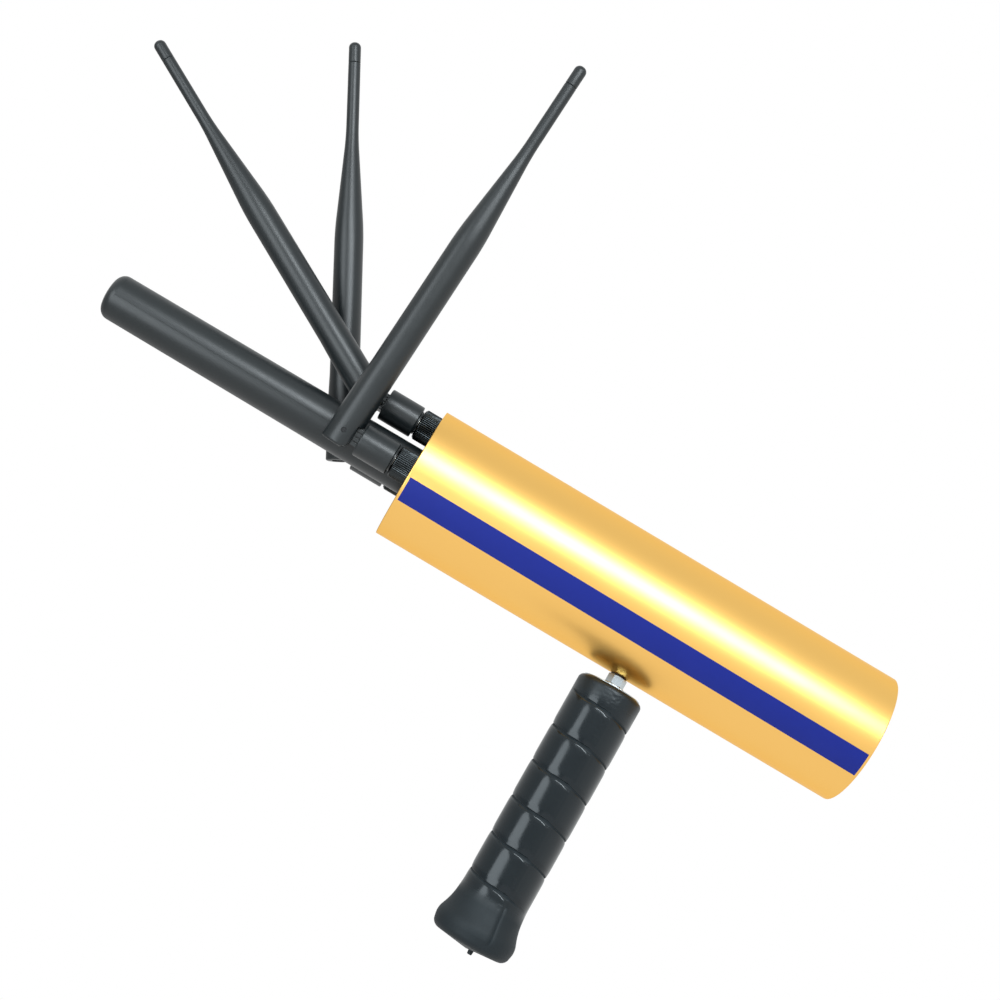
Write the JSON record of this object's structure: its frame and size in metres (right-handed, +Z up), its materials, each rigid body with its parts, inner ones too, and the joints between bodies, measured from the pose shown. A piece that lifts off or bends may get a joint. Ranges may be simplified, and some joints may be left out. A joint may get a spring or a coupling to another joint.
{
  "type": "hand-held long range metal detector",
  "caption": "Aluminium tube detector on a free-swinging rubber pistol grip, with a thick centre rod and folding antennas at the front and a control panel recessed in the rear end.",
  "frame": {"origin": "the middle of the grip on the handle axis, where a hand holds it", "axes": "+X forward towards the antennas along the tube, +Y to the holder's left, +Z up along the handle"},
  "size_m": [0.4049, 0.0784, 0.3287],
  "materials": {
    "gold_anodised_tube": "satin gold anodised",
    "blue_label_film": "smooth film",
    "black_abs": "satin moulded",
    "black_plated_nut": "black, fine straight ribs",
    "brass": "turned",
    "plated_steel": "bright zinc plated",
    "bearing_steel": "ground",
    "grip_rubber": "semi-gloss moulded",
    "black_nylon": "moulded",
    "black_panel": "fine matte",
    "control_plastic": "moulded",
    "red_button": "moulded",
    "red_lens": "clear tinted",
    "bare_aluminium": "bent sheet",
    "green_board": "solder mask",
    "cell_can": "shrink wrapped",
    "lead_jacket": "smooth"
  },
  "bodies": {
    "handle": {"grip_sleeve": "grip_rubber", "grip_core": "black_nylon", "bearing_outer_rings": "bearing_steel"},
    "detector": {"antenna_leads": "lead_jacket", "antenna_sockets": "brass", "battery_cells": "cell_can", "battery_holder": "black_nylon", "bearing_inner_rings": "bearing_steel", "bearing_spacer": "bearing_steel", "board_components": "control_plastic", "board_standoffs": "black_nylon", "body_tube": "gold_anodised_tube", "buzzer": "control_plastic", "centre_insert": "brass", "centre_nut": "plated_steel", "centre_radiator": "brass", "centre_rod": "black_abs", "charging_socket": "control_plastic", "chassis_tray": "bare_aluminium", "circuit_board": "green_board", "front_plate": "black_panel", "handle_stud": "plated_steel", "indicator_lenses": "red_lens", "inner_stud_nut": "plated_steel", "label_strip": "blue_label_film", "left_coupling_nut": "black_plated_nut", "left_plug": "brass", "lower_lock_nut": "plated_steel", "panel_nuts": "plated_steel", "potentiometer": "control_plastic", "rear_panel": "black_panel", "right_coupling_nut": "black_plated_nut", "right_plug": "brass", "socket_nuts": "plated_steel", "socket_washers": "plated_steel", "stud_nut": "plated_steel", "stud_saddle": "black_nylon", "stud_washer": "plated_steel", "switch_body": "control_plastic", "top_coupling_nut": "black_plated_nut", "top_plug": "brass"},
    "left_base": {"left_swivel": "black_abs"},
    "left_antenna": {"left_rod": "black_abs", "left_tip_cap": "black_abs", "left_hinge_pin": "plated_steel", "left_radiator": "brass"},
    "top_base": {"top_swivel": "black_abs"},
    "top_antenna": {"top_rod": "black_abs", "top_tip_cap": "black_abs", "top_hinge_pin": "plated_steel", "top_radiator": "brass"},
    "right_base": {"right_swivel": "black_abs"},
    "right_antenna": {"right_rod": "black_abs", "right_tip_cap": "black_abs", "right_hinge_pin": "plated_steel", "right_radiator": "brass"},
    "knob": {"sensitivity_knob": "control_plastic", "knob_shaft": "plated_steel"},
    "button": {"power_button": "red_button"}
  },
  "joints": [
    {"name": "handle_swivel", "type": "hinge", "parent": "handle", "child": "detector", "pos_m": [0, 0, 0.056], "axis": [0, 0, 1], "continuous": true},
    {"name": "left_swivel_turn", "type": "hinge", "parent": "detector", "child": "left_base", "pos_m": [0.131, 0.01918, 0.09132], "axis": [-1, 0, 0], "range_deg": [-14, 110]},
    {"name": "left_tilt", "type": "hinge", "parent": "left_base", "child": "left_antenna", "pos_m": [0.1485, 0.01918, 0.09132], "axis": [0, -0.9874, 0.1582], "range_deg": [-92.5, 2.5]},
    {"name": "top_swivel_turn", "type": "hinge", "parent": "detector", "child": "top_base", "pos_m": [0.131, 0, 0.1128], "axis": [-1, 0, 0], "range_deg": [-5, 90]},
    {"name": "top_tilt", "type": "hinge", "parent": "top_base", "child": "top_antenna", "pos_m": [0.1485, 0, 0.1128], "axis": [0, -0.9997, -0.0227], "range_deg": [-28.6, 66.4]},
    {"name": "right_swivel_turn", "type": "hinge", "parent": "detector", "child": "right_base", "pos_m": [0.131, -0.01918, 0.09132], "axis": [1, 0, 0], "range_deg": [-4, 115]},
    {"name": "right_tilt", "type": "hinge", "parent": "right_base", "child": "right_antenna", "pos_m": [0.1485, -0.01918, 0.09132], "axis": [0, -0.9982, 0.0593], "range_deg": [-60.9, 34.1]},
    {"name": "knob_turn", "type": "hinge", "parent": "detector", "child": "knob", "pos_m": [-0.096, 0, 0.1025], "axis": [-1, 0, 0], "range_deg": [-150, 150]},
    {"name": "button_press", "type": "slide", "parent": "detector", "child": "button", "axis": [1, 0, 0], "range_m": [0, 0.002], "stiffness_N_per_m": 500, "springref_m": -0.001}
  ]
}
